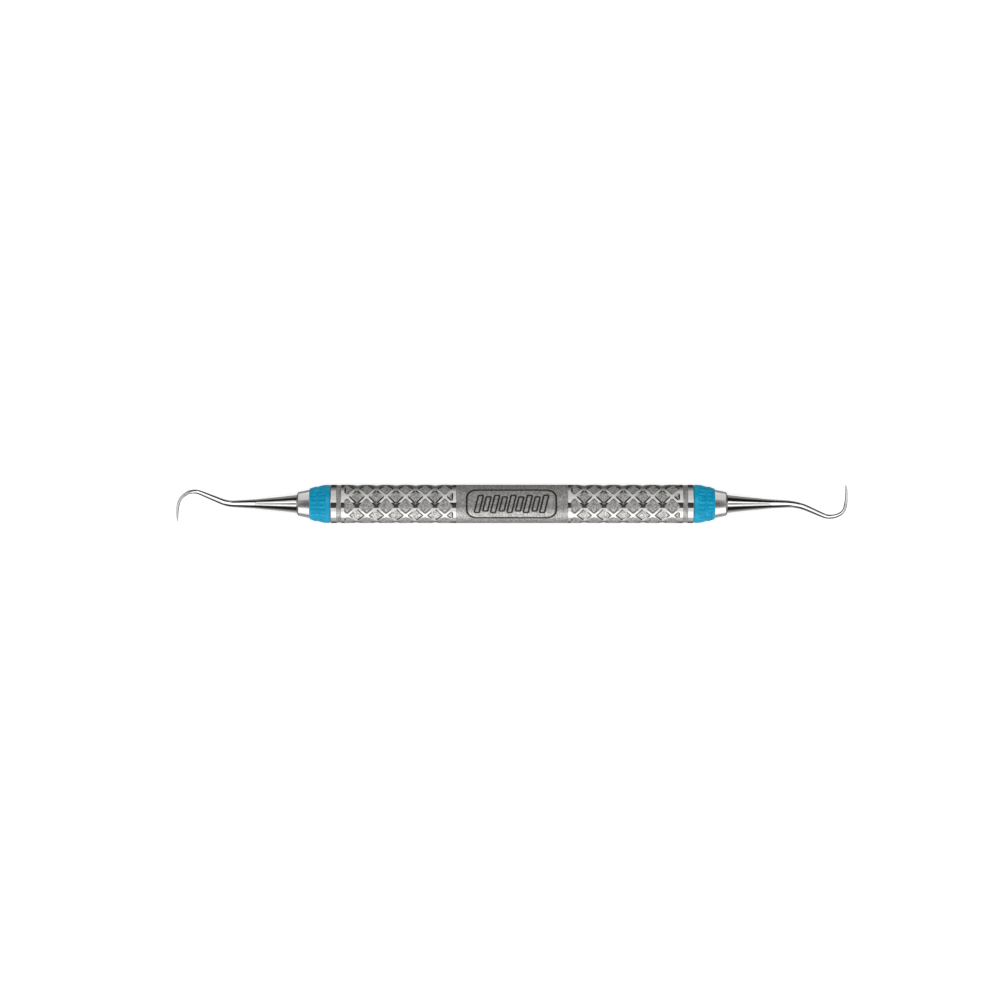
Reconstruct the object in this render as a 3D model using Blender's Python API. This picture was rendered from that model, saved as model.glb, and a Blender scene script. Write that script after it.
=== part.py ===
"""Double-ended dental hand scaler.

+X runs along the handle, the hooks lie in the XY plane, the marked panel faces +Z.
The origin is on the handle's axis at mid-length. Driving dimensions are in millimetres.
"""
from math import pi, sin, cos, tan, radians, degrees, atan2

import bpy
import bmesh
from mathutils import Vector
from mathutils.geometry import delaunay_2d_cdt

MM = 0.001

# handle tube
SIDES = 24                    # facets around the turned pieces
STEP = 360.0 / SIDES
TUBE_HALF = 45.0
TUBE_R = 4.75                 # 9.5 mm handle
BORE_R = 4.00
END_CHAMFER = 0.10
CENTRE_HALF = 13.8            # matte centre band
KNURL_IN = 14.5               # knurled zone, inner and outer limits from mid-length
KNURL_OUT = 41.6
POLISH_END = 42.3
NECK_END = 43.5
NECK_DEPTH = 0.05

# diamond knurl
ROWS_AROUND = 6
PITCH = 4.83                  # centre to centre along the handle
CELL_ANGLE = 180.0 / ROWS_AROUND
LAND = 0.92                   # width of the raised line between two diamonds
WALL = 0.14
POCKET_DEPTH = 0.14
ROW_PHASE = 22.5              # first row's angle from +Z towards +Y
LEFT_FIRST = -38.40           # a diamond's centre on that row, left zone
RIGHT_FIRST = 17.86           # the same, right zone
MIN_POCKET = 0.35

# panel outline on the centre band
PANEL_MID = -0.16
PANEL_HALF = 11.07
PANEL_ANGLE = 46.3
PANEL_CORNER = 2.5
PANEL_LINE = 0.30
PANEL_DEPTH = 0.08
CORNER_STEPS = 4

# nose cones
PLUG_START = 39.0
PLUG_R = 3.96
SEAT_R = 3.46
SEAT_END = 50.25
NOSE_TAPER_END = 53.0
NOSE_TAPER_R = 2.95
NOSE_FACE = 53.34
NOSE_FACE_R = 2.40
TANG_BORE_R = 1.60

# grip rings
RIBS = 24
RING_SIDES = 2 * RIBS
RING_BACK = 45.03
RING_BORE_R = 3.54
RIB_DEPTH = 0.13
RING_PROFILE = (              # station, radius, ribbed
    (45.03, 4.60, False),
    (45.22, 4.72, False),
    (46.10, 4.72, False),
    (46.30, 4.72, True),
    (47.15, 4.58, True),
    (47.85, 4.38, True),
    (48.05, 4.22, False),
    (48.22, 4.22, False),
    (48.42, 4.33, True),
    (49.05, 4.20, True),
    (49.60, 4.00, True),
    (49.80, 3.86, False),
    (50.12, 3.80, False),
    (50.25, 3.68, False),
)

# working ends
SHANK_SIDES = 16
TANG_START = 43.0
TANG_R = 1.56
SHANK_START = 53.37
LEFT_CURVE = dict(straight_end=68.9, bend_r=8.3, bend=22.2, lower=5.65,
                  hook=((4.1, 100.9), (11.6, 20.6)))
RIGHT_CURVE = dict(straight_end=67.95, bend_r=12.9, bend=23.8, lower=4.2,
                   hook=((4.7, 60.1), (2.1, 37.7), (12.7, 26.8)))
SHANK_LENGTH = 35.8
WIDTH = (                     # share of the shank's length, width in the hook's plane
    (0.000, 4.43), (0.070, 3.82), (0.146, 3.25), (0.286, 2.28), (0.408, 1.77),
    (0.452, 1.58), (0.511, 1.52), (0.575, 1.36), (0.642, 1.24), (0.682, 1.14),
    (0.726, 1.04), (0.760, 0.95), (0.802, 0.86), (0.850, 0.80), (0.890, 0.74),
    (0.930, 0.65), (0.968, 0.44), (1.000, 0.12),
)
FACE_WIDTH = (                # share of the length, width of the blade's face
    (0.682, 1.14), (0.760, 1.10), (0.850, 0.98), (0.930, 0.70), (0.975, 0.36), (1.000, 0.12),
)
BLADE_START = 0.690
BLADE_FULL = 0.775
STATIONS = 44


def clear_scene():
    for ob in list(bpy.data.objects):
        bpy.data.objects.remove(ob, do_unlink=True)


def material(name, colour, metallic, roughness):
    mat = bpy.data.materials.new(name)
    mat.use_nodes = True
    bsdf = mat.node_tree.nodes["Principled BSDF"]
    bsdf.inputs["Base Color"].default_value = (*colour, 1.0)
    bsdf.inputs["Metallic"].default_value = metallic
    bsdf.inputs["Roughness"].default_value = roughness
    mat.diffuse_color = (*colour, 1.0)
    return mat


def facet_radius(apothem, angle):
    """Radius at an angle on a polygon whose facets are centred on multiples of STEP."""
    off = (angle + STEP / 2.0) % STEP - STEP / 2.0
    return apothem / cos(radians(off))


class Shell:
    """A closed body built from points that are shared by position."""

    def __init__(self):
        self.verts = []
        self.faces = []
        self.index = {}

    def point(self, x, y, z):
        key = (round(x, 5), round(y, 5), round(z, 5))
        if key not in self.index:
            self.index[key] = len(self.verts)
            self.verts.append((x * MM, y * MM, z * MM))
        return self.index[key]

    def polar(self, x, angle, radius):
        a = radians(angle)
        return self.point(x, radius * sin(a), radius * cos(a))

    def face(self, ids):
        clean = [v for i, v in enumerate(ids) if v != ids[i - 1]]
        if len(set(clean)) >= 3:
            self.faces.append(tuple(clean))

    def build(self, name, mat, sharp=32.0, location=(0.0, 0.0, 0.0)):
        mesh = bpy.data.meshes.new(name)
        shift = Vector(location)
        mesh.from_pydata([tuple(Vector(v) - shift) for v in self.verts], [], self.faces)
        bm = bmesh.new()
        bm.from_mesh(mesh)
        bmesh.ops.recalc_face_normals(bm, faces=bm.faces[:])
        if bm.calc_volume(signed=True) < 0:
            bmesh.ops.reverse_faces(bm, faces=bm.faces[:])
        bmesh.ops.triangulate(bm, faces=[f for f in bm.faces if len(f.verts) > 4])
        bm.to_mesh(mesh)
        bm.free()
        mesh.shade_smooth()
        mesh.set_sharp_from_angle(angle=radians(sharp))
        mesh.materials.append(mat)
        ob = bpy.data.objects.new(name, mesh)
        ob.location = shift
        bpy.context.collection.objects.link(ob)
        return ob


def facet_angles(sides):
    return [(i + 0.5) * 360.0 / sides for i in range(sides)]


def lathe_rings(shell, profile, sides, closed=True):
    """Join polygon rings; the profile lists (station, apothem) around a section."""
    angles = facet_angles(sides)
    grow = 1.0 / cos(pi / sides)
    rings = [[shell.polar(x, a, r * grow) for a in angles] for x, r in profile]
    spans = range(len(rings)) if closed else range(len(rings) - 1)
    for i in spans:
        a, b = rings[i], rings[(i + 1) % len(rings)]
        for k in range(sides):
            n = (k + 1) % sides
            shell.face((a[k], b[k], b[n], a[n]))
    return rings


# ---------------------------------------------------------------- handle tube

def clip_x(poly, low, high):
    """Clip a convex polygon in the unrolled plane between two stations."""
    for limit, keep_above in ((low, True), (high, False)):
        out = []
        for i, p in enumerate(poly):
            q = poly[(i + 1) % len(poly)]
            p_in = p[0] >= limit if keep_above else p[0] <= limit
            q_in = q[0] >= limit if keep_above else q[0] <= limit
            if p_in:
                out.append(p)
            if p_in != q_in:
                t = (limit - p[0]) / (q[0] - p[0])
                out.append((limit, p[1] + t * (q[1] - p[1])))
        poly = out
        if not poly:
            break
    return poly


def rhombus(xc, ac, hx, ha):
    return [(xc - hx, ac), (xc, ac - ha), (xc + hx, ac), (xc, ac + ha)]


def knurl_sizes():
    """Half-diagonals of a pocket's mouth and floor, along the handle and in degrees."""
    cell_x = PITCH / 2.0
    cell_s = radians(CELL_ANGLE) * TUBE_R
    normal = cell_x * cell_s / (cell_x ** 2 + cell_s ** 2) ** 0.5
    mouth = 1.0 - (LAND / 2.0) / normal
    floor = 1.0 - (LAND / 2.0 + WALL) / normal
    return mouth, floor


def knurl_zone(shell, x0, x1, first):
    """One knurled zone: a sector between two diamond rows' centres, repeated around."""
    mouth, floor = knurl_sizes()
    hx, ha = PITCH / 2.0, CELL_ANGLE
    low, high = ROW_PHASE - CELL_ANGLE, ROW_PHASE + CELL_ANGLE
    centres = []
    for shift, angles in ((0.0, (ROW_PHASE,)), (PITCH / 2.0, (low, high))):
        n = -12
        while n <= 12:
            xc = first + shift + n * PITCH
            n += 1
            inner = clip_x(rhombus(xc, 0.0, hx * floor, ha * floor), x0 + WALL, x1 - WALL)
            if not inner or max(p[0] for p in inner) - min(p[0] for p in inner) < MIN_POCKET:
                continue
            centres += [(xc, a) for a in angles]

    def clip_angle(poly):
        flipped = [(a, x) for x, a in poly]
        return [(x, a) for a, x in clip_x(flipped, low, high)]

    verts, faces = [], []

    def add_face(poly):
        start = len(verts)
        verts.extend(Vector(p) for p in poly)
        faces.append(list(range(start, start + len(poly))))

    add_face([(x0, low), (x1, low), (x1, high), (x0, high)])
    for xc, ac in centres:
        for scale, inset in ((mouth, 0.04), (floor, WALL)):
            poly = clip_x(rhombus(xc, ac, hx * scale, ha * scale), x0 + inset, x1 - inset)
            poly = clip_angle(poly)
            if len(poly) >= 3:
                add_face(poly)
    edges = []
    lines = int(round((high - low) / STEP))
    for i in range(1, lines):
        start = len(verts)
        verts.extend((Vector((x0, low + i * STEP)), Vector((x1, low + i * STEP))))
        edges.append((start, start + 1))
    out_v, _, out_f, _, _, _ = delaunay_2d_cdt(verts, edges, faces, 1, 1e-6, True)

    def depth(x, a):
        if x < x0 + WALL - 1e-4 or x > x1 - WALL + 1e-4:
            return 0.0
        for xc, ac in centres:
            if abs(x - xc) / (hx * floor) + abs(a - ac) / (ha * floor) <= 1.0 + 1e-4:
                return POCKET_DEPTH
        return 0.0

    table = [(v[0], v[1], depth(v[0], v[1])) for v in out_v]
    for k in range(ROWS_AROUND):
        turn = k * 2.0 * CELL_ANGLE
        ids = [shell.polar(x, a + turn, facet_radius(TUBE_R - d, a)) for x, a, d in table]
        for f in out_f:
            shell.face([ids[i] for i in f])


def rounded_panel(grow):
    """The panel's outline in the unrolled plane, offset by grow."""
    half_x = PANEL_HALF + grow
    half_s = radians(PANEL_ANGLE) * TUBE_R + grow
    r = PANEL_CORNER + grow
    pts = []
    for cx, cs, start in ((1, 1, 0), (-1, 1, 90), (-1, -1, 180), (1, -1, 270)):
        for i in range(CORNER_STEPS + 1):
            t = radians(start + 90.0 * i / CORNER_STEPS)
            x = PANEL_MID + cx * (half_x - r) + r * cos(t)
            s = cs * (half_s - r) + r * sin(t)
            pts.append((x, degrees(s / TUBE_R)))
    return pts


def centre_band(shell):
    """The matte band; the panel's outline is a V groove on its +Z side."""
    x0, x1 = -CENTRE_HALF, CENTRE_HALF
    low, high = -4.5 * STEP, 4.5 * STEP
    verts, faces, edges = [], [], []

    def add_face(poly):
        start = len(verts)
        verts.extend(Vector(p) for p in poly)
        faces.append(list(range(start, start + len(poly))))

    add_face([(x0, low), (x1, low), (x1, high), (x0, high)])
    loops = [rounded_panel(g) for g in (PANEL_LINE / 2.0, 0.0, -PANEL_LINE / 2.0)]
    for loop in loops:
        add_face(loop)
    for i in range(1, 9):
        start = len(verts)
        verts.extend((Vector((x0, low + i * STEP)), Vector((x1, low + i * STEP))))
        edges.append((start, start + 1))
    out_v, _, out_f, _, _, _ = delaunay_2d_cdt(verts, edges, faces, 1, 1e-6, True)

    groove = loops[1]

    def on_line(x, a):
        for i, p in enumerate(groove):
            q = groove[(i + 1) % len(groove)]
            dx, da = q[0] - p[0], q[1] - p[1]
            length = dx * dx + da * da
            t = max(0.0, min(1.0, ((x - p[0]) * dx + (a - p[1]) * da) / length)) if length else 0.0
            if (x - p[0] - t * dx) ** 2 + (a - p[1] - t * da) ** 2 < 1e-6:
                return True
        return False

    ids = []
    for v in out_v:
        d = PANEL_DEPTH if on_line(v[0], v[1]) else 0.0
        ids.append(shell.polar(v[0], v[1], facet_radius(TUBE_R - d, v[1])))
    for f in out_f:
        shell.face([ids[i] for i in f])
    for i in range(9, SIDES):
        a, b = low + i * STEP, low + (i + 1) * STEP
        r = facet_radius(TUBE_R, a)
        shell.face((shell.polar(x0, a, r), shell.polar(x1, a, r),
                    shell.polar(x1, b, r), shell.polar(x0, b, r)))


def handle_tube(mat):
    shell = Shell()
    centre_band(shell)
    knurl_zone(shell, -KNURL_OUT, -KNURL_IN, LEFT_FIRST)
    knurl_zone(shell, KNURL_IN, KNURL_OUT, RIGHT_FIRST)
    lathe_rings(shell, ((CENTRE_HALF, TUBE_R), (KNURL_IN, TUBE_R)), SIDES, closed=False)
    lathe_rings(shell, ((-KNURL_IN, TUBE_R), (-CENTRE_HALF, TUBE_R)), SIDES, closed=False)
    dip = TUBE_R - NECK_DEPTH
    outer = [(KNURL_OUT, TUBE_R), (POLISH_END, TUBE_R), (POLISH_END + 0.08, dip),
             (NECK_END - 0.08, dip), (NECK_END, TUBE_R),
             (TUBE_HALF - END_CHAMFER, TUBE_R), (TUBE_HALF, TUBE_R - END_CHAMFER)]
    right = outer + [(TUBE_HALF, BORE_R)]
    left = [(-x, r) for x, r in right][::-1]
    lathe_rings(shell, right + left, SIDES, closed=False)
    return shell.build("handle_tube", mat, sharp=24.0)


# ---------------------------------------------------------------- nose cones

def nose_cone(name, side, mat):
    profile = [
        (PLUG_START, TANG_BORE_R), (PLUG_START, PLUG_R - 0.25), (PLUG_START + 0.4, PLUG_R),
        (TUBE_HALF, PLUG_R), (TUBE_HALF, SEAT_R), (SEAT_END, SEAT_R),
        (NOSE_TAPER_END, NOSE_TAPER_R), (NOSE_FACE, NOSE_FACE_R), (NOSE_FACE, TANG_BORE_R),
    ]
    shell = Shell()
    lathe_rings(shell, [(side * x, r) for x, r in profile], SIDES)
    return shell.build(name, mat, sharp=24.0)


# ---------------------------------------------------------------- grip rings

def grip_ring(name, side, mat):
    shell = Shell()
    angles = [i * 360.0 / RING_SIDES for i in range(RING_SIDES)]
    rings = []
    for x, r, ribbed in RING_PROFILE:
        rings.append([shell.polar(side * x, a, r - (RIB_DEPTH if ribbed and i % 2 == 0 else 0.0))
                      for i, a in enumerate(angles)])
    for x in (RING_PROFILE[-1][0], RING_BACK):
        rings.append([shell.polar(side * x, a, RING_BORE_R) for a in angles])
    for i, a in enumerate(rings):
        b = rings[(i + 1) % len(rings)]
        for k in range(RING_SIDES):
            n = (k + 1) % RING_SIDES
            shell.face((a[k], b[k], b[n], a[n]))
    return shell.build(name, mat, sharp=24.0)


# ---------------------------------------------------------------- working ends

def lookup(table, t):
    if t <= table[0][0]:
        return table[0][1]
    for (t0, v0), (t1, v1) in zip(table, table[1:]):
        if t <= t1:
            return v0 + (v1 - v0) * (t - t0) / (t1 - t0)
    return table[-1][1]


def centreline(curve):
    """Arcs and straights from the nose to the tip, as (length, turn in degrees) pieces."""
    pieces = [(curve["straight_end"] - SHANK_START, 0.0),
              (curve["bend_r"] * radians(curve["bend"]), curve["bend"]),
              (curve["lower"], 0.0)]
    pieces += [(r * radians(a), -a) for r, a in curve["hook"]]
    return pieces


def locate(pieces, s):
    """Position and heading (degrees from +X) at arc length s along the pieces."""
    x, y, heading = SHANK_START, 0.0, 0.0
    for length, turn in pieces:
        part = min(s, length)
        if turn:
            r = length / radians(abs(turn))
            sign = 1.0 if turn > 0 else -1.0
            h0 = radians(heading)
            h1 = h0 + sign * part / r
            x += sign * r * (sin(h1) - sin(h0))
            y += -sign * r * (cos(h1) - cos(h0))
            heading = degrees(h1)
        else:
            x += part * cos(radians(heading))
            y += part * sin(radians(heading))
        s -= part
        if s <= 1e-9:
            break
    return x, y, heading


def section(width, face, blend):
    """Points (towards the hook's inside, across) from round to the blade's triangle."""
    pts = []
    half = SHANK_SIDES // 2
    corner = 3
    for k in range(SHANK_SIDES):
        j = k if k <= half else SHANK_SIDES - k
        sign = 1.0 if k <= half else -1.0
        a = radians(j * 360.0 / SHANK_SIDES)
        round_n, round_z = width / 2.0 * cos(a), width / 2.0 * sin(a)
        if j <= corner:
            tri_n, tri_z = width / 2.0, face / 2.0 * j / corner
        else:
            t = (j - corner) / (half - corner)
            tri_n = width / 2.0 - width * t
            tri_z = face / 2.0 * (1.0 - t)
        n = round_n + (tri_n - round_n) * blend
        z = round_z + (tri_z - round_z) * blend
        pts.append((n, sign * z))
    return pts


def working_end(name, side, lift, curve, mat):
    pieces = centreline(curve)
    total = sum(p[0] for p in pieces)
    shares = set()
    for i in range(STATIONS + 1):
        u = i / STATIONS
        shares.add(round(0.46 * u / 0.24 if u <= 0.24 else 0.46 + 0.54 * (u - 0.24) / 0.76, 5))
    shell = Shell()
    rings = []
    for x, r in ((TANG_START, TANG_R - 0.25), (TANG_START + 0.3, TANG_R), (SHANK_START, TANG_R)):
        rings.append([shell.point(side * x, lift * -n, z) for n, z in section(2 * r, 0.0, 0.0)])
    for t in sorted(shares):
        x, y, heading = locate(pieces, t * total)
        blend = max(0.0, min(1.0, (t - BLADE_START) / (BLADE_FULL - BLADE_START)))
        blend = blend * blend * (3.0 - 2.0 * blend)
        h = radians(heading)
        ring = []
        for n, z in section(lookup(WIDTH, t), lookup(FACE_WIDTH, t), blend):
            px = x + n * sin(h)
            py = y - n * cos(h)
            ring.append(shell.point(side * px, lift * py, z))
        rings.append(ring)
    for a, b in zip(rings, rings[1:]):
        for k in range(SHANK_SIDES):
            n = (k + 1) % SHANK_SIDES
            shell.face((a[k], b[k], b[n], a[n]))
    shell.face(rings[0][::-1])
    shell.face(rings[-1])
    return shell.build(name, mat, sharp=38.0)


def main():
    clear_scene()
    tube = handle_tube(material("handle_steel", (0.46, 0.45, 0.44), 1.0, 0.38))
    for side, word in ((-1, "left"), (1, "right")):
        nose_cone(word + "_nose_cone", side, material(word + "_nose_steel", (0.55, 0.53, 0.52), 1.0, 0.26))
        grip_ring(word + "_grip_ring", side, material(word + "_ring_silicone", (0.0, 0.27, 0.52), 0.0, 0.45))
    working_end("left_working_end", -1, 1, LEFT_CURVE, material("left_shank_steel", (0.66, 0.65, 0.64), 1.0, 0.12))
    working_end("right_working_end", 1, -1, RIGHT_CURVE, material("right_shank_steel", (0.66, 0.65, 0.64), 1.0, 0.12))
    return tube


main()
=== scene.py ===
"""Double-ended dental hand scaler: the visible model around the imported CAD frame.

Lengths are in millimetres until they reach a mesh. +X runs along the handle, angles are
measured around it from +Z towards +Y.
"""
import math
from math import pi, sin, cos, radians, degrees, atan2, hypot

import bmesh
import bpy
import numpy as np
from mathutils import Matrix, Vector
from mathutils.geometry import delaunay_2d_cdt


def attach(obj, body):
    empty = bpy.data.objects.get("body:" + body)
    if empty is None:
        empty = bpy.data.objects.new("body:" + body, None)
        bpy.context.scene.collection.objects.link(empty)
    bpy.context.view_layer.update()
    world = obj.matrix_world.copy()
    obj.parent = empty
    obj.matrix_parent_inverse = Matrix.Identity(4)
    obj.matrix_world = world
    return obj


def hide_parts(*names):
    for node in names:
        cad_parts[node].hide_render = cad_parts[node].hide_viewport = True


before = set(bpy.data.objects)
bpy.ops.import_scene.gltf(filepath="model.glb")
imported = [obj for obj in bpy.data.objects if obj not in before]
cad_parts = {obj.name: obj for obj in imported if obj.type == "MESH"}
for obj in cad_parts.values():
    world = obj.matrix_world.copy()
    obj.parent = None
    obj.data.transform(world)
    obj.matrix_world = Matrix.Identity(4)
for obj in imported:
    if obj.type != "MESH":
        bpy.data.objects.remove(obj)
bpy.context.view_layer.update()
MM = 0.001

# ------------------------------------------------------------------ sizes
TUBE_HALF = 45.0
TUBE_R = 4.75
BORE_R = 4.0
CENTRE_HALF = 13.76
KNURL_IN, KNURL_OUT = 14.5, 41.6
POLISH_END, NECK_END = 42.3, 43.5
PITCH = 4.83
CELL = 30.0
ROW_PHASE = 22.5
LAND = 0.42
WALL = 0.45
DEPTH = 0.160
CORNER = 0.47
LEFT_FIRST, RIGHT_FIRST = -38.40, 17.86
STEP = 5.0                    # facets around the turned handle
PHASE = -7.5                  # first facet line

PANEL_MID, PANEL_HALF, PANEL_ANGLE, PANEL_CORNER = -0.16, 11.07, 46.3, 2.5
PANEL_LINE, PANEL_DEPTH = 0.25, 0.10

NOSE_FACE = 53.34
SHANK_START = 53.37
TANG_R = 1.56
RIBS = 24


# ------------------------------------------------------------------ mesh helper
class Skin:
    """Triangles and quads around the X axis with shared points and exact corner normals."""

    def __init__(self, flip=1.0):
        self.v, self.f, self.n, self.m, self.key = [], [], [], [], {}
        self.flip = flip

    def vert(self, p):
        k = (round(p[0], 5), round(p[1], 5), round(p[2], 5))
        i = self.key.get(k)
        if i is None:
            i = self.key[k] = len(self.v)
            self.v.append(k)
        return i

    def face(self, pts, nrm, mat=0):
        ids = [self.vert(p) for p in pts]
        keep = [i for i in range(len(ids)) if ids[i] != ids[i - 1]]
        if len({ids[i] for i in keep}) < 3:
            return
        self.f.append([ids[i] for i in keep])
        self.n.extend([nrm[i] for i in keep])
        self.m.append(mat)

    def build(self, name, mats, body, node=None):
        mesh = bpy.data.meshes.new(name)
        mesh.from_pydata([(self.flip * a * MM, b * MM, c * MM) for a, b, c in self.v], [],
                         self.f if self.flip > 0 else [f[::-1] for f in self.f])
        if self.flip > 0:
            normals = self.n
        else:
            normals, at = [], 0
            for f in self.f:
                normals += [(-n[0], n[1], n[2]) for n in self.n[at:at + len(f)][::-1]]
                at += len(f)
        mesh.polygons.foreach_set("material_index", self.m)
        mesh.polygons.foreach_set("use_smooth", [True] * len(self.f))
        for m in mats:
            mesh.materials.append(m)
        mesh.normals_split_custom_set([tuple(n) for n in normals])
        mesh.update()
        ob = bpy.data.objects.new(name, mesh)
        bpy.context.scene.collection.objects.link(ob)
        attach(ob, body)
        if node:
            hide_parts(node)
        return ob


def around(x, r, a):
    t = radians(a)
    return (x, r * sin(t), r * cos(t))


def bend_normal(nx, nr, na, a):
    """Unit normal from axial, radial and tangential parts at an angle."""
    t = radians(a)
    ln = (nx * nx + nr * nr + na * na) ** 0.5
    return (nx / ln, (nr * sin(t) + na * cos(t)) / ln, (nr * cos(t) - na * sin(t)) / ln)


def profile_normals(profile, closed=False):
    """Per segment, the two end normals; a point marked smooth shares its neighbours' normal."""
    n = len(profile)
    count = n if closed else n - 1
    seg = []
    for i in range(count):
        (x0, r0), (x1, r1) = profile[i][:2], profile[(i + 1) % n][:2]
        ln = hypot(x1 - x0, r1 - r0) or 1.0
        seg.append((-(r1 - r0) / ln, (x1 - x0) / ln))
    out = []
    for i in range(count):
        ends = []
        for j, other in ((i, i - 1), (i + 1, i + 1)):
            p = profile[j % n]
            ok = p[2] and (closed or 0 <= other < count)
            if ok:
                o = seg[other % count]
                v = (seg[i][0] + o[0], seg[i][1] + o[1])
                ln = hypot(*v) or 1.0
                ends.append((v[0] / ln, v[1] / ln))
            else:
                ends.append(seg[i])
        out.append(ends)
    return out


def lathe(skin, profile, angles, closed=False):
    """profile: (x, r, smooth, material of the segment that starts there)."""
    norms = profile_normals(profile, closed)
    n = len(profile)
    for i, (na, nb) in enumerate(norms):
        p, q = profile[i], profile[(i + 1) % n]
        for a0, a1 in angles:
            skin.face([around(p[0], p[1], a0), around(q[0], q[1], a0),
                       around(q[0], q[1], a1), around(p[0], p[1], a1)],
                      [bend_normal(na[0], na[1], 0, a0), bend_normal(nb[0], nb[1], 0, a0),
                       bend_normal(nb[0], nb[1], 0, a1), bend_normal(na[0], na[1], 0, a1)], p[3])


def spans(step, phase, low=0.0, high=360.0):
    count = int(round((high - low) / step))
    return [(phase + low + i * step, phase + low + (i + 1) * step) for i in range(count)]


# ------------------------------------------------------------------ unrolled patches
def clip(poly, axis, low, high):
    for limit, above in ((low, True), (high, False)):
        out = []
        for i, p in enumerate(poly):
            q = poly[(i + 1) % len(poly)]
            pi_, qi = (p[axis] >= limit, q[axis] >= limit) if above else (p[axis] <= limit, q[axis] <= limit)
            if pi_:
                out.append(p)
            if pi_ != qi:
                t = (limit - p[axis]) / (q[axis] - p[axis])
                c = [p[0] + t * (q[0] - p[0]), p[1] + t * (q[1] - p[1])]
                c[axis] = limit
                out.append(tuple(c))
        poly = out
        if len(poly) < 3:
            return []
    return poly


def offset_loop(base, radius, steps):
    """A convex polygon grown by a disc of that radius, corners as arcs."""
    out, n = [], len(base)
    for i, p in enumerate(base):
        a, b = base[i - 1], base[(i + 1) % n]
        t0 = atan2(-(p[0] - a[0]), p[1] - a[1])
        t1 = atan2(-(b[0] - p[0]), b[1] - p[1])
        while t1 < t0:
            t1 += 2 * pi
        k = max(1, int(round(steps * (t1 - t0) / (pi / 2))))
        for j in range(k + 1):
            t = t0 + (t1 - t0) * j / k
            out.append((p[0] + radius * cos(t), p[1] + radius * sin(t)))
    return out


def distance(points, base):
    """Distance outside a convex polygon (0 within) and the unit direction away from it."""
    px = np.asarray(points, float)
    best = np.full(len(px), 1e9)
    away = np.zeros_like(px)
    inside = np.ones(len(px), bool)
    n = len(base)
    for i in range(n):
        a, b = np.array(base[i]), np.array(base[(i + 1) % n])
        d = b - a
        t = np.clip(((px - a) @ d) / (d @ d), 0, 1)
        off = px - (a + t[:, None] * d)
        ln = np.hypot(off[:, 0], off[:, 1])
        inside &= (d[0] * (px[:, 1] - a[1]) - d[1] * (px[:, 0] - a[0])) >= -1e-9
        hit = ln < best
        best[hit] = ln[hit]
        away[hit] = off[hit] / np.maximum(ln[hit], 1e-9)[:, None]
    best[inside] = 0.0
    away[inside] = 0.0
    return best, away


def patch(x0, x1, low, high, loops, step):
    """Triangulates a rectangle of the unrolled surface (x in mm, angle in degrees)."""
    verts, faces, edges = [], [], []

    def add(poly):
        start = len(verts)
        verts.extend(Vector((p[0], p[1])) for p in poly)
        faces.append(list(range(start, start + len(poly))))

    add([(x0, low), (x1, low), (x1, high), (x0, high)])
    for loop in loops:
        flat = [(x, degrees(s / TUBE_R)) for x, s in loop]
        flat = clip(clip(flat, 1, low, high), 0, x0, x1)
        if len(flat) >= 3:
            add(flat)
    for i in range(1, int(round((high - low) / step))):
        start = len(verts)
        verts.extend((Vector((x0, low + i * step)), Vector((x1, low + i * step))))
        edges.append((start, start + 1))
    v, _, f, _, _, _ = delaunay_2d_cdt(verts, edges, faces, 1, 1e-6, True)
    return np.array([(p[0], p[1]) for p in v]), [list(t) for t in f]


def emboss(skin, pts, tris, height, grad, mats, turn=0.0):
    """Wraps a patch on the handle with a height and its gradient (along x, along the arc)."""
    pos = [around(x, TUBE_R + h, a + turn) for (x, a), h in zip(pts, height)]
    nrm = [bend_normal(-gx, 1.0, -gs, a + turn) for (x, a), (gx, gs) in zip(pts, grad)]
    for t, m in zip(tris, mats):
        skin.face([pos[i] for i in t], [nrm[i] for i in t], m)


BLAST, LANDS, WALLS, ETCH, INNER, FLOOR = range(6)


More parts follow.
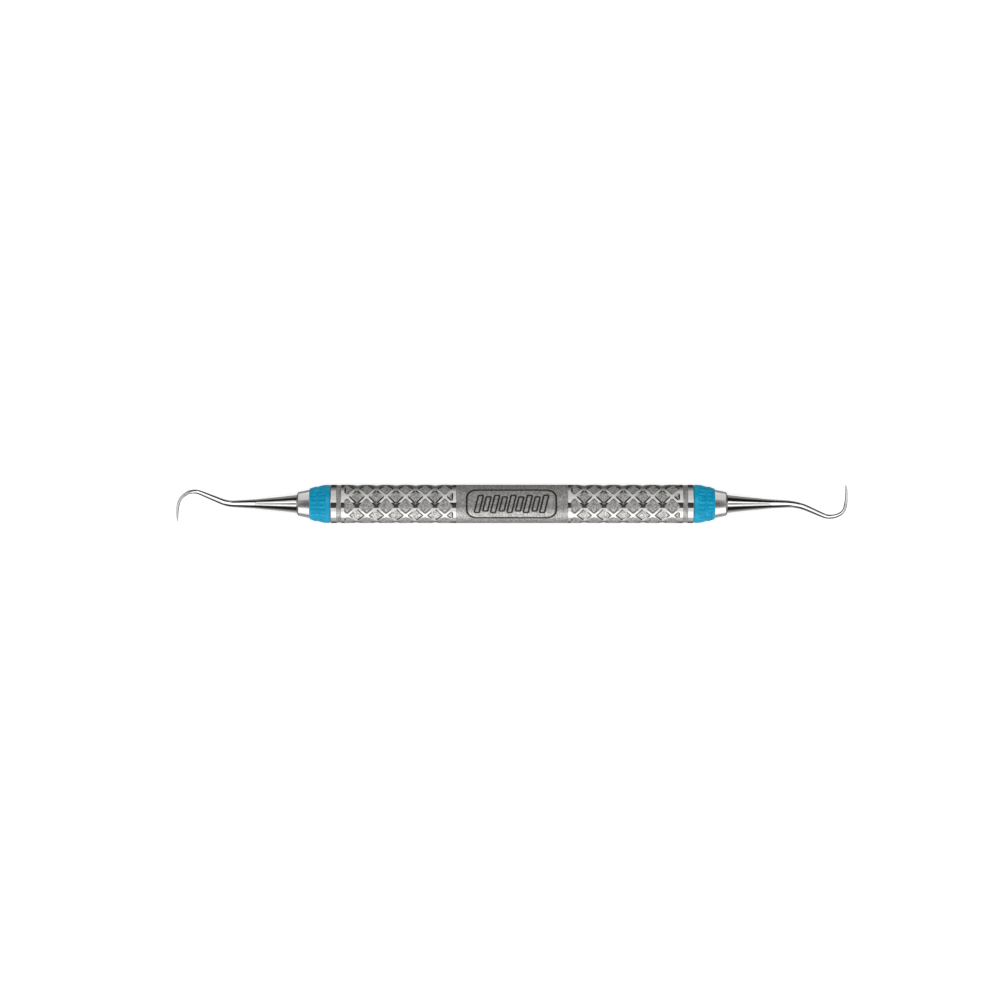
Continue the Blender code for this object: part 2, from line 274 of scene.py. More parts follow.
def knurl(skin, x0, x1, first):
    half_x, half_s = PITCH / 2.0, radians(CELL) * TUBE_R
    inrad = half_x * half_s / hypot(half_x, half_s)
    k = (inrad - LAND / 2.0 - CORNER) / inrad
    low, high = ROW_PHASE - CELL, ROW_PHASE + CELL
    bases = []
    for shift, rows in ((0.0, (ROW_PHASE,)), (half_x, (low, high))):
        for n in range(-9, 10):
            xc = first + shift + n * PITCH
            for a in rows:
                s = radians(a) * TUBE_R
                poly = [(xc - half_x * k, s), (xc, s - half_s * k), (xc + half_x * k, s), (xc, s + half_s * k)]
                edge = 0.05 + CORNER
                poly = clip(poly, 0, x0 + edge, x1 - edge)
                if poly and max(p[0] for p in poly) - min(p[0] for p in poly) > 0.18:
                    bases.append(poly)
    steps = 6
    loops = []
    for b in bases:
        for u in (0.0, 0.09, 0.18, 0.28, 0.6, 0.85, 0.93, 1.0):
            loops.append(offset_loop(b, CORNER - WALL * u, steps))
    pts, tris = patch(x0, x1, low, high, loops, STEP)
    ps = np.column_stack((pts[:, 0], np.radians(pts[:, 1]) * TUBE_R))
    cen = np.array([ps[t].mean(0) for t in tris])
    t_v = np.full(len(ps), -1.0)
    g_v = np.zeros((len(ps), 2))
    t_f = np.full(len(cen), -1.0)
    for b in bases:
        d, away = distance(ps, b)
        t = CORNER - d
        hit = t > t_v
        t_v[hit], g_v[hit] = t[hit], away[hit]
        d, _ = distance(cen, b)
        t_f = np.maximum(t_f, CORNER - d)
    u = np.clip(t_v / WALL, 0, 1)
    crest, foot = 0.28, 0.15              # a flat wall with a worn round at its top and a small one at its foot
    steep = 1.0 / (1.0 - crest / 2 - foot / 2)
    height = -DEPTH * np.where(u < crest, steep * u * u / (2 * crest),
                               np.where(u > 1 - foot, 1 - steep * (1 - u) ** 2 / (2 * foot), steep * (u - crest / 2)))
    slope = DEPTH / WALL * steep * np.clip(np.minimum(u / crest, (1 - u) / foot), 0, 1)
    grad = g_v * slope[:, None]
    # pocket floors take the brightened blasted steel, painted light
    # walls take the darkened polished steel, painted shade in the pockets
    mats = [LANDS if t <= 0.015 else (WALLS if t < WALL * 0.97 else FLOOR) for t in t_f]
    for i in range(6):
        emboss(skin, pts, tris, height, grad, mats, i * 2 * CELL)


def groove(ps, base, radius, half, depth):
    d, away = distance(ps, base)
    t = d - radius
    u = np.clip(np.abs(t) / half, 0, 1)
    h = -depth * np.cos(u * pi / 2) ** 2
    dh = depth * np.sin(u * pi) * (pi / 2) / half * np.sign(t)
    dh[u >= 1] = 0
    return h, away * dh[:, None], u < 1


def bars():
    """A plain row of slanted bars, a stock engraved ornament."""
    out = []
    slant = math.tan(radians(14))
    for i in range(9):
        xc = PANEL_MID + (i - 4) * 2.02
        hw, hs = 0.36, 1.95 if i % 2 == 0 else 1.55
        out.append([(xc - hw - slant * hs, -hs), (xc + hw - slant * hs, -hs),
                    (xc + hw + slant * hs, hs), (xc - hw + slant * hs, hs)])
    return out


def centre(skin):
    low, high = -67.5, 67.5
    half_s = radians(PANEL_ANGLE) * TUBE_R
    cx, cs = PANEL_HALF - PANEL_CORNER, half_s - PANEL_CORNER
    panel = [(PANEL_MID - cx, -cs), (PANEL_MID + cx, -cs), (PANEL_MID + cx, cs), (PANEL_MID - cx, cs)]
    bar_r, bar_half = 0.24, 0.23
    loops = [offset_loop(panel, PANEL_CORNER + PANEL_LINE * k, 12) for k in (1, 0.5, 0, -0.5, -1)]
    motif = bars()
    for b in motif:
        loops += [offset_loop(b, bar_r + bar_half * k, 5) for k in (1, 0.5, 0, -0.5, -1)]
    pts, tris = patch(-CENTRE_HALF, CENTRE_HALF, low, high, loops, STEP)
    ps = np.column_stack((pts[:, 0], np.radians(pts[:, 1]) * TUBE_R))
    cen = np.array([ps[t].mean(0) for t in tris])
    height, grad, _ = groove(ps, panel, PANEL_CORNER, PANEL_LINE, PANEL_DEPTH)
    _, _, cut = groove(cen, panel, PANEL_CORNER, PANEL_LINE * 0.9, PANEL_DEPTH)
    for b in motif:
        h, g, _ = groove(ps, b, bar_r, bar_half, 0.08)
        height += h
        grad += g
        cut |= groove(cen, b, bar_r, bar_half * 0.9, 0.05)[2]
    emboss(skin, pts, tris, height, grad, [ETCH if c else BLAST for c in cut])
    lathe(skin, [(-CENTRE_HALF, TUBE_R, False, BLAST), (CENTRE_HALF, TUBE_R, False, BLAST)],
          spans(STEP, 0.0, high, low + 360.0))


def handle(mats):
    skin = Skin()
    centre(skin)
    knurl(skin, -KNURL_OUT, -KNURL_IN, LEFT_FIRST)
    knurl(skin, KNURL_IN, KNURL_OUT, RIGHT_FIRST)
    ring = spans(STEP, PHASE)
    r = TUBE_R
    inner = [(CENTRE_HALF, r, False, WALLS), (13.80, r - 0.035, False, WALLS), (13.84, r, False, LANDS),
             (KNURL_IN, r, False, LANDS)]
    neck = []
    for i in range(9):
        u = i / 8.0
        neck.append((42.38 + 1.04 * u, r - 0.055 - 0.05 * sin(pi * u), 0 < i < 8, BLAST))
    neck[-1] = neck[-1][:3] + (WALLS,)
    outer = [(KNURL_OUT, r, False, LANDS), (POLISH_END, r, False, WALLS), (42.33, r - 0.07, False, WALLS)]
    outer += neck
    outer += [(43.47, r - 0.07, False, WALLS), (NECK_END, r, False, LANDS), (44.86, r, False, LANDS),
              (44.93, r - 0.02, True, LANDS), (44.98, r - 0.06, True, LANDS), (45.0, r - 0.11, False, WALLS),
              (45.0, BORE_R + 0.08, False, WALLS), (44.92, BORE_R, False, INNER)]
    for side in (1, -1):
        for prof in (inner, outer):
            if side > 0:
                lathe(skin, prof, ring)
            else:
                rev = []
                for i in range(len(prof) - 1, -1, -1):
                    rev.append((-prof[i][0], prof[i][1], prof[i][2], prof[i - 1][3] if i else 0))
                lathe(skin, rev, ring)
    lathe(skin, [(44.92, BORE_R, False, INNER), (-44.92, BORE_R, False, INNER)], ring)
    return skin.build("handle_tube_skin", mats, "handle", "handle_tube")


# ------------------------------------------------------------------ nose cones
def nose(name, side, mat, node):
    skin = Skin(side)
    prof = [(39.0, 1.60, False, 0), (39.0, 3.72, False, 0), (39.22, 3.96, False, 0), (44.9, 3.96, False, 0),
            (45.0, 3.90, False, 0), (45.0, 3.48, False, 0), (50.22, 3.48, True, 0), (50.45, 3.45, True, 0),
            (52.90, 2.985, True, 0), (53.0, 2.95, True, 0), (53.06, 2.90, True, 0), (53.28, 2.50, True, 0),
            (53.33, 2.43, True, 0), (NOSE_FACE, 2.38, False, 0), (NOSE_FACE, 1.66, False, 0), (53.28, 1.60, False, 0)]
    lathe(skin, prof, spans(3.75, 0.0), closed=True)
    return skin.build(name, [mat], "handle", node)


# ------------------------------------------------------------------ grip rings
RING = ((45.03, 3.56), (45.03, 4.50), (45.06, 4.60), (45.12, 4.67), (45.22, 4.712), (45.40, 4.72), (45.80, 4.72),
        (46.10, 4.72), (46.30, 4.718), (46.60, 4.70), (46.90, 4.66), (47.20, 4.59), (47.50, 4.50), (47.75, 4.42),
        (47.92, 4.36), (48.02, 4.29), (48.10, 4.245), (48.20, 4.245), (48.28, 4.28), (48.38, 4.32), (48.60, 4.31),
        (48.90, 4.26), (49.20, 4.18), (49.45, 4.08), (49.65, 3.99), (49.80, 3.93), (49.95, 3.885), (50.08, 3.83),
        (50.18, 3.76), (50.24, 3.68), (50.25, 3.60), (50.25, 3.56), (50.19, 3.54), (45.09, 3.54))


def smoothstep(e0, e1, x):
    t = np.clip((x - e0) / (e1 - e0), 0, 1)
    return t * t * (3 - 2 * t)


def grip_ring(name, side, mat, body, node):
    prof = []
    n = len(RING)
    for i in range(n):                    # finer stations along the outside
        a, b = RING[i], RING[(i + 1) % n]
        cuts = 3 if 5 <= i <= 26 else 1
        for k in range(cuts):
            prof.append((a[0] + (b[0] - a[0]) * k / cuts, a[1] + (b[1] - a[1]) * k / cuts))
    px = np.array([p[0] for p in prof])
    pr = np.array([p[1] for p in prof])
    outer = pr > 3.62
    row1 = smoothstep(46.12, 46.45, px) * (1 - smoothstep(47.78, 47.98, px))
    row2 = smoothstep(48.30, 48.46, px) * (1 - smoothstep(49.55, 49.85, px))
    depth = np.where(outer, 0.24 * np.maximum(row1, row2), 0.0)
    seg = RIBS * 12
    ang = np.arange(seg) * 360.0 / seg
    wave = 0.5 - 0.5 * np.cos(np.radians((ang + 8.5) * RIBS))
    wave = smoothstep(0.10, 0.90, wave)
    mesh = bpy.data.meshes.new(name)
    rr = pr[:, None] - depth[:, None] * wave[None, :]
    t = np.radians(ang)
    xs = np.repeat(px[:, None], seg, 1) * side
    co = np.stack((xs, rr * np.sin(t), rr * np.cos(t)), -1).reshape(-1, 3) * MM
    rows = len(prof)
    i, k = np.meshgrid(np.arange(rows), np.arange(seg), indexing="ij")
    ni, nk = (i + 1) % rows, (k + 1) % seg
    quads = np.stack((i * seg + k, ni * seg + k, ni * seg + nk, i * seg + nk), -1).reshape(-1, 4)
    if side < 0:
        quads = quads[:, ::-1]
    mesh.from_pydata(co.tolist(), [], quads.tolist())
    mesh.shade_smooth()
    mesh.set_sharp_from_angle(angle=radians(50))
    mesh.materials.append(mat)
    ob = bpy.data.objects.new(name, mesh)
    bpy.context.scene.collection.objects.link(ob)
    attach(ob, body)
    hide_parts(node)
    return ob


# ------------------------------------------------------------------ working ends
WIDTH = ((0.000, 4.43), (0.070, 3.82), (0.146, 3.25), (0.286, 2.28), (0.408, 1.77), (0.452, 1.60), (0.511, 1.50),
         (0.575, 1.36), (0.642, 1.24), (0.682, 1.14), (0.726, 1.04), (0.760, 0.95), (0.802, 0.86), (0.850, 0.80),
         (0.890, 0.76), (0.930, 0.70), (0.968, 0.54), (1.000, 0.18))
FACE = ((0.682, 1.14), (0.760, 1.10), (0.850, 0.98), (0.930, 0.70), (0.975, 0.36), (1.000, 0.10))
LEFT_CURVE = (68.9, 8.3, 22.2, 5.65, ((4.1, 100.9), (11.6, 20.6)))
RIGHT_CURVE = (67.95, 12.9, 23.8, 4.2, ((4.7, 60.1), (2.1, 37.7), (12.7, 26.8)))


def curve_points(curve, count):
    straight, bend_r, bend, lower, hook = curve
    pieces = [(straight - SHANK_START, 0.0), (bend_r * radians(bend), bend), (lower, 0.0)]
    pieces += [(r * radians(a), -a) for r, a in hook]
    total = sum(p[0] for p in pieces)
    fine, x, y, h = [], SHANK_START, 0.0, 0.0
    n = 4000
    for i in range(n + 1):
        s, acc = total * i / n, 0.0
        turn = 0.0
        for length, t in pieces:
            if s <= acc + length + 1e-9:
                turn = radians(t) / length if length else 0.0
                break
            acc += length
        fine.append((s / total, turn))
    share = np.array([f[0] for f in fine])
    turn = np.array([f[1] for f in fine])
    k = int(0.012 * n)                    # eases the change from straight to bend
    kernel = np.hanning(2 * k + 1)
    turn = np.convolve(np.pad(turn, k, mode="edge"), kernel / kernel.sum(), "valid")
    ds = total / n
    head = np.concatenate(([0.0], np.cumsum((turn[1:] + turn[:-1]) / 2 * ds)))
    xs = SHANK_START + np.concatenate(([0.0], np.cumsum((np.cos(head[1:]) + np.cos(head[:-1])) / 2 * ds)))
    ys = np.concatenate(([0.0], np.cumsum((np.sin(head[1:]) + np.sin(head[:-1])) / 2 * ds)))
    t = np.linspace(0, 1, count)
    t = np.where(t < 0.25, t / 0.25 * 0.42, 0.42 + (t - 0.25) / 0.75 * 0.58)
    return t, np.interp(t, share, xs), np.interp(t, share, ys), np.interp(t, share, head)


def table(points, t, soft=0.03):
    """A station table with its corners eased."""
    fine = np.linspace(0, 1, 2001)
    v = np.interp(fine, [p[0] for p in points], [p[1] for p in points])
    k = int(soft * 2000)
    kernel = np.hanning(2 * k + 1)
    ext = np.concatenate((2 * v[0] - v[k:0:-1], v, 2 * v[-1] - v[-2:-k - 2:-1]))
    v = np.convolve(ext, kernel / kernel.sum(), "valid")
    return np.interp(t, fine, v)


def section(width, face, blend, sides, lean=0.5):
    pts = []
    half, corner = sides // 2, sides * 3 // 16
    for k in range(sides):
        j = k if k <= half else sides - k
        sign = 1.0 if k <= half else -1.0
        a = 2 * pi * j / sides
        cn, cz = width / 2 * cos(a), width / 2 * sin(a)
        if j <= corner:
            v = j / corner
            tn, tz = width / 2 * (1 - lean * v ** 1.5), face / 2 * v
        else:
            u = (j - corner) / (half - corner)
            tn, tz = width / 2 * (1 - lean) - width * (1 - lean / 2) * u, face / 2 * (1 - u ** 1.3)
        pts.append((cn + (tn - cn) * blend, sign * (cz + (tz - cz) * blend)))
    return pts


def working_end(name, side, lift, curve, start_blade, mats, node):
    sides, count = 48, 190
    t, cx, cy, head = curve_points(curve, count)
    width, face = table(WIDTH, t, 0.02), table(FACE, t, 0.02)
    width, face = np.maximum(width, 0.10), np.maximum(face, 0.10)
    rings = []
    for x, r in ((43.0, TANG_R - 0.2), (43.25, TANG_R), (SHANK_START, TANG_R), (SHANK_START, 2.12)):
        rings.append([(x, -n, z) for n, z in section(2 * r, 0.0, 0.0, sides)])
    for i in range(count):
        b = float(smoothstep(start_blade, start_blade + 0.08, t[i]))
        w = width[i]
        if i == 0:
            w = 4.40
        ring = []
        x = cx[i] + (0.04 if i == 0 else 0.0)
        for n, z in section(w, face[i], b, sides):
            ring.append((x + n * sin(head[i]), cy[i] - n * cos(head[i]), z))
        rings.append(ring)
    verts = [(side * p[0] * MM, lift * p[1] * MM, p[2] * MM) for ring in rings for p in ring]
    faces, which = [], []
    for i in range(len(rings) - 1):
        for k in range(sides):
            n = (k + 1) % sides
            q = (i * sides + k, (i + 1) * sides + k, (i + 1) * sides + n, i * sides + n)
            faces.append(q)
            which.append(1 if i >= 4 and t[i - 4] > start_blade + 0.05 else 0)
    faces.append(tuple(range(sides))[::-1])
    faces.append(tuple((len(rings) - 1) * sides + k for k in range(sides)))
    which += [0, 1]
    mesh = bpy.data.meshes.new(name)
    mesh.from_pydata(verts, [], faces)
    bm = bmesh.new()
    bm.from_mesh(mesh)
    bmesh.ops.recalc_face_normals(bm, faces=bm.faces[:])
    if bm.calc_volume(signed=True) < 0:
        bmesh.ops.reverse_faces(bm, faces=bm.faces[:])
    bm.to_mesh(mesh)
    bm.free()
    mesh.polygons.foreach_set("material_index", which)
    mesh.shade_smooth()
    mesh.set_sharp_from_angle(angle=radians(32))
    for m in mats:
        mesh.materials.append(m)
    ob = bpy.data.objects.new(name, mesh)
    bpy.context.scene.collection.objects.link(ob)
    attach(ob, "handle")
    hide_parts(node)
    return ob


# ------------------------------------------------------------------ materials
class Nodes:
    """A small helper to write node trees as expressions."""

    def __init__(self, tree):
        self.t = tree

    def new(self, kind, **inputs):
        node = self.t.nodes.new(kind)
        for k, v in inputs.items():
            self.set(node, k, v)
        return node

    def set(self, node, key, value):
        sock = node.inputs[key] if not isinstance(key, str) or key in node.inputs else node.inputs[key.replace("_", " ")]
        if isinstance(value, bpy.types.NodeSocket):
            self.t.links.new(value, sock)
        else:
            sock.default_value = value

    def math(self, op, a, b=None, c=None, clamp=False):
        node = self.t.nodes.new("ShaderNodeMath")
        node.operation = op
        node.use_clamp = clamp
        for i, v in enumerate((a, b, c)):
            if v is not None:
                self.set(node, i, v)
        return node.outputs[0]

    def ramp(self, fac, stops, mode="LINEAR"):
        node = self.t.nodes.new("ShaderNodeValToRGB")
        node.color_ramp.interpolation = mode
        els = node.color_ramp.elements
        while len(els) > 1:
            els.remove(els[-1])
        for i, (pos, v) in enumerate(stops):
            c = v if isinstance(v, tuple) else (v, v, v)
            e = els[0] if i == 0 else els.new(pos)
            e.position = pos
            e.color = (*c[:3], 1.0)
        self.set(node, 0, fac)
        return node.outputs[0]

    def remap(self, v, a, b, c, d, smooth=False):
        node = self.t.nodes.new("ShaderNodeMapRange")
        if smooth:
            node.interpolation_type = "SMOOTHSTEP"
        node.clamp = True
        for i, x in enumerate((v, a, b, c, d)):
            self.set(node, i, x)
        return node.outputs[0]

    def noise(self, vec, scale, detail=2.0, rough=0.5):
        node = self.t.nodes.new("ShaderNodeTexNoise")
        self.set(node, "Vector", vec)
        self.set(node, "Scale", scale)
        self.set(node, "Detail", detail)
        self.set(node, "Roughness", rough)
        return node.outputs[0]

    def scale(self, vec, s):
        node = self.t.nodes.new("ShaderNodeMapping")
        self.set(node, "Vector", vec)
        node.inputs["Scale"].default_value = s
        return node.outputs[0]

    def mix(self, fac, a, b):
        node = self.t.nodes.new("ShaderNodeMix")
        node.data_type = "RGBA"
        for i, v in ((0, fac), (6, a), (7, b)):
            if isinstance(v, bpy.types.NodeSocket):
                self.t.links.new(v, node.inputs[i])
            else:
                node.inputs[i].default_value = (*v, 1.0) if isinstance(v, tuple) and len(v) == 3 else v
        return node.outputs[2]

    def bump(self, height, strength, dist, normal=None):
        node = self.t.nodes.new("ShaderNodeBump")
        self.set(node, "Height", height)
        self.set(node, "Strength", strength)
        self.set(node, "Distance", dist)
        if normal is not None:
            self.set(node, "Normal", normal)
        return node.outputs[0]


def start(name, metallic, roughness, colour):
    mat = bpy.data.materials.new(name)
    mat.use_nodes = True
    tree = mat.node_tree
    bsdf = tree.nodes["Principled BSDF"]
    bsdf.inputs["Metallic"].default_value = metallic
    bsdf.inputs["Roughness"].default_value = roughness
    bsdf.inputs["Base Color"].default_value = (*colour, 1.0)
    n = Nodes(tree)
    obj = n.new("ShaderNodeTexCoord").outputs["Object"]
    return mat, bsdf, n, obj


def blasted_steel(name, low, mid, high, rough):
    """Bead-blasted metal: a fine grain over coarser speckles."""
    mat, bsdf, n, obj = start(name, 1.0, rough, (mid, mid * 0.98, mid * 0.96))
    grain = n.noise(obj, 6500.0, 3.0, 0.6)
    speckle = n.noise(obj, 2700.0, 3.0, 0.6)
    patches = n.noise(obj, 700.0, 2.0, 0.5)
    both = n.math("ADD", n.math("MULTIPLY", grain, 0.2),
                  n.math("ADD", n.math("MULTIPLY", speckle, 0.65), n.math("MULTIPLY", patches, 0.15)))
    n.set(bsdf, "Base Color", n.ramp(both, [(k, (v, v * 0.98, v * 0.957)) for k, v in ((0.42, low), (0.50, mid), (0.58, high))]))
    n.set(bsdf, "Roughness", n.remap(both, 0.36, 0.64, rough + 0.05, rough - 0.04))
    n.set(bsdf, "Normal", n.bump(grain, 0.55, 0.00004, n.bump(speckle, 0.70, 0.00008)))
    return mat


def polished_steel(name, rough, colour, streak):
    """Polished metal with faint circumferential turning lines."""
    mat, bsdf, n, obj = start(name, 1.0, rough, colour)
    lines = n.noise(n.scale(obj, (9000.0, 120.0, 120.0)), 1.0, 3.0, 0.6)
    cloud = n.noise(obj, 500.0, 3.0, 0.5)
    lo, hi = tuple(c * (1 - streak) for c in colour), tuple(min(1.0, c * (1 + streak)) for c in colour)
    n.set(bsdf, "Base Color", n.ramp(n.math("ADD", n.math("MULTIPLY", lines, 0.5), n.math("MULTIPLY", cloud, 0.5)),
                                     [(0.3, lo), (0.7, hi)]))
    n.set(bsdf, "Roughness", n.remap(cloud, 0.3, 0.7, rough * 1.25, rough * 0.8))
    n.set(bsdf, "Normal", n.bump(lines, 0.05, 0.000004))
    return mat


def satin_steel():
    """Turned nose cone: fine rings along the axis."""
    mat, bsdf, n, obj = start("turned_steel", 1.0, 0.22, (0.64, 0.62, 0.61))
    rings = n.noise(n.scale(obj, (14000.0, 60.0, 60.0)), 1.0, 4.0, 0.65)
    cloud = n.noise(obj, 700.0, 3.0, 0.5)
    n.set(bsdf, "Base Color", n.ramp(rings, [(0.32, (0.50, 0.485, 0.475)), (0.5, (0.63, 0.61, 0.60)), (0.7, (0.72, 0.70, 0.69))]))
    n.set(bsdf, "Roughness", n.remap(n.math("ADD", rings, n.math("MULTIPLY", cloud, 0.4)), 0.4, 1.0, 0.30, 0.19))
    n.set(bsdf, "Normal", n.bump(rings, 0.30, 0.00003))
    return mat


def mirror_steel():
    """Hand-polished shank with very fine lengthwise polishing marks."""
    mat, bsdf, n, obj = start("mirror_steel", 1.0, 0.07, (0.70, 0.69, 0.68))
    marks = n.noise(n.scale(obj, (500.0, 5200.0, 5200.0)), 1.0, 3.0, 0.6)
    cloud = n.noise(obj, 350.0, 3.0, 0.5)
    n.set(bsdf, "Base Color", n.ramp(cloud, [(0.3, (0.66, 0.65, 0.64)), (0.7, (0.74, 0.73, 0.72))]))
    n.set(bsdf, "Roughness", n.remap(marks, 0.3, 0.7, 0.10, 0.05))
    n.set(bsdf, "Normal", n.bump(marks, 0.02, 0.00001))
    return mat


def ground_steel():
    """The blade: ground, with fine marks across it."""
    mat, bsdf, n, obj = start("ground_steel", 1.0, 0.24, (0.68, 0.67, 0.66))
    marks = n.noise(n.scale(obj, (9000.0, 1200.0, 1200.0)), 1.0, 3.0, 0.6)
    n.set(bsdf, "Base Color", n.ramp(marks, [(0.36, (0.62, 0.61, 0.60)), (0.64, (0.84, 0.83, 0.82))]))
    n.set(bsdf, "Roughness", n.remap(marks, 0.36, 0.64, 0.32, 0.20))
    n.set(bsdf, "Normal", n.bump(marks, 0.15, 0.00001))
    return mat


def etched_steel():
    mat, bsdf, n, obj = start("etched_steel", 1.0, 0.55, (0.09, 0.087, 0.084))
    grain = n.noise(obj, 7000.0, 3.0, 0.6)
    n.set(bsdf, "Base Color", n.ramp(grain, [(0.3, (0.05, 0.048, 0.046)), (0.7, (0.13, 0.127, 0.124))]))
    n.set(bsdf, "Roughness", n.remap(grain, 0.3, 0.7, 0.62, 0.46))
    n.set(bsdf, "Normal", n.bump(grain, 0.4, 0.00003))
    return mat


def silicone():
    mat, bsdf, n, obj = start("blue_silicone", 0.0, 0.40, (0.0, 0.19, 0.31))
    fine = n.noise(obj, 5200.0, 3.0, 0.6)
    cloud = n.noise(obj, 420.0, 3.0, 0.5)
    both = n.math("ADD", n.math("MULTIPLY", fine, 0.35), n.math("MULTIPLY", cloud, 0.65))
    n.set(bsdf, "Base Color", n.ramp(both, [(0.36, (0.0, 0.210, 0.355)), (0.5, (0.0, 0.255, 0.425)), (0.64, (0.0, 0.300, 0.495))]))
    n.set(bsdf, "Roughness", n.remap(both, 0.36, 0.64, 0.40, 0.28))
    n.set(bsdf, "Normal", n.bump(fine, 0.25, 0.00003))
    bsdf.inputs["Specular IOR Level"].default_value = 0.22
    bsdf.inputs["Subsurface Weight"].default_value = 0.12
    bsdf.inputs["Subsurface Radius"].default_value = (0.2, 0.6, 1.0)
    bsdf.inputs["Subsurface Scale"].default_value = 0.0006
    return mat


blast = blasted_steel("blasted_steel", 0.43, 0.62, 0.84, 0.45)
# pocket floors: the blasted steel made brighter (mid 0.74 against 0.62), painted light on the recessed floors
pocket = blasted_steel("pocket_steel_painted_light", 0.46, 0.74, 1.0, 0.48)
lands = polished_steel("polished_lands", 0.07, (0.70, 0.69, 0.68), 0.05)
# pocket walls and groove sides: the lands' polished steel made darker (0.56 against 0.70), painted shade in the
# recesses
walls = polished_steel("pocket_walls_painted_shade", 0.10, (0.56, 0.55, 0.54), 0.10)
inner = polished_steel("bore_steel", 0.35, (0.45, 0.44, 0.43), 0.10)
etch = etched_steel()
turned = satin_steel()
mirror = mirror_steel()
ground = ground_steel()
blue = silicone()

tube = handle([blast, lands, walls, etch, inner, pocket])
cones = [nose("left_nose_cone_skin", -1, turned, "left_nose_cone"),
         nose("right_nose_cone_skin", 1, turned, "right_nose_cone")]
rings = [grip_ring("left_grip_ring_skin", -1, blue, "left_ring", "left_grip_ring"),
         grip_ring("right_grip_ring_skin", 1, blue, "right_ring", "right_grip_ring")]
ends = [working_end("left_working_end_skin", -1, 1, LEFT_CURVE, 0.695, [mirror, ground], "left_working_end"),
        working_end("right_working_end_skin", 1, -1, RIGHT_CURVE, 0.815, [mirror, ground], "right_working_end")]


# ------------------------------------------------------------------ studio
def studio_world():
    """Soft boxes as a plain direction pattern: a long box above, strip boxes at the sides."""
    world = bpy.data.worlds.new("studio")
    bpy.context.scene.world = world
    world.use_nodes = True
    tree = world.node_tree
    n = Nodes(tree)
    bg = tree.nodes["Background"]
    out = tree.nodes["World Output"]
    d = n.new("ShaderNodeSeparateXYZ")
    tree.links.new(n.new("ShaderNodeTexCoord").outputs["Generated"], d.inputs[0])
    x, y, z = d.outputs
    ang = n.math("MULTIPLY", n.math("ARCTAN2", y, z), 180.0 / pi)
    fac = n.remap(ang, -180.0, 180.0, 0.0, 1.0)

    def stops(points):
        return n.ramp(fac, [((a + 180.0) / 360.0, v) for a, v in points])

    strip = stops([(-180, .06), (-150, .04), (-140, .10), (-128, .45), (-116, .55), (-104, .7), (-94, .6), (-88, .15), (-50, .1),
                   (-44, .9), (-37, 1.05), (-27, 1.0), (9, 1.15), (20, .95), (34, .80), (42, .50), (50, .42), (65, .36),
                   (85, .36), (95, .36), (105, .25), (112, .18), (124, .04), (150, .03), (180, .06)])
    box = stops([(-180, .5), (-150, .6), (-130, .5), (-115, .4), (-105, .2), (-95, .12), (-85, .03), (-55, .004),
                 (-47, .04), (-38, .25), (-28, .36), (28, .36), (38, .12), (46, .02), (55, .004), (75, .01),
                 (85, .06), (95, .1), (105, .4), (115, .42), (130, .25), (150, .4), (180, .5)])
    side = stops([(-180, .3), (-150, .2), (-135, .1), (-118, .05), (-100, .02), (-60, .01), (-45, .08), (-30, .08),
                  (-15, .04), (8, .02), (18, .05), (30, .08), (45, .05), (60, .01), (100, .01), (120, .04), (138, .1),
                  (150, .2), (180, .3)])
    far = stops([(-180, .05), (-155, .1), (-132, .8), (-112, .7), (-95, .3), (-80, .06), (-62, .04), (-54, .2), (-46, .65),
                 (-35, .9), (-20, .40), (0, .40), (12, .75), (20, .85), (31, .85), (38, .2), (46, .02), (92, .01), (108, .02), (120, .5),
                 (140, .5), (155, .1), (180, .05)])
    ax = n.math("ABSOLUTE", x)

    def inside(low, high, soft):
        up = n.remap(ang, low - soft, low + soft, 0.0, 1.0, True)
        return n.math("MULTIPLY", up, n.remap(ang, high - soft, high + soft, 1.0, 0.0, True))

    slot = n.ramp(n.remap(ang, -26.0, 8.0, 0.0, 1.0), [(0.0, .09), (1.0, .02)])
    strip = n.mix(inside(-25.0, 8.5, 2.0), strip, slot)
    line_x = n.math("MULTIPLY", n.remap(ax, 0.15, 0.19, 0.0, 1.0, True), n.remap(ax, 0.32, 0.35, 0.95, 0.0, True))
    box = n.mix(n.math("MULTIPLY", inside(-10.0, 10.0, 1.5), line_x), box, (0.02, 0.02, 0.02))
    env = n.mix(n.remap(ax, 0.055, 0.085, 0.0, 1.0, True), strip, box)
    env = n.mix(n.remap(ax, 0.335, 0.365, 0.0, 1.0, True), env, side)
    env = n.mix(n.remap(ax, 0.45, 0.52, 0.0, 1.0, True), env, far)
    fall = n.remap(ax, 0.55, 1.0, 1.0, 0.5)
    vm = tree.nodes.new("ShaderNodeVectorMath")
    vm.operation = "SCALE"
    tree.links.new(env, vm.inputs[0])
    tree.links.new(fall, vm.inputs[3])
    lit = vm.outputs[0]
    tree.links.new(lit, bg.inputs["Color"])
    bg.inputs["Strength"].default_value = 1.0
    plain = tree.nodes.new("ShaderNodeBackground")
    plain.inputs["Color"].default_value = (1.0, 1.0, 1.0, 1.0)
    plain.inputs["Strength"].default_value = 1.05
    path = tree.nodes.new("ShaderNodeLightPath")
    mix = tree.nodes.new("ShaderNodeMixShader")
    tree.links.new(path.outputs["Is Camera Ray"], mix.inputs[0])
    tree.links.new(bg.outputs[0], mix.inputs[1])
    tree.links.new(plain.outputs[0], mix.inputs[2])
    tree.links.new(mix.outputs[0], out.inputs[0])
    world.cycles.sampling_method = "MANUAL"
    world.cycles.sample_map_resolution = 1024


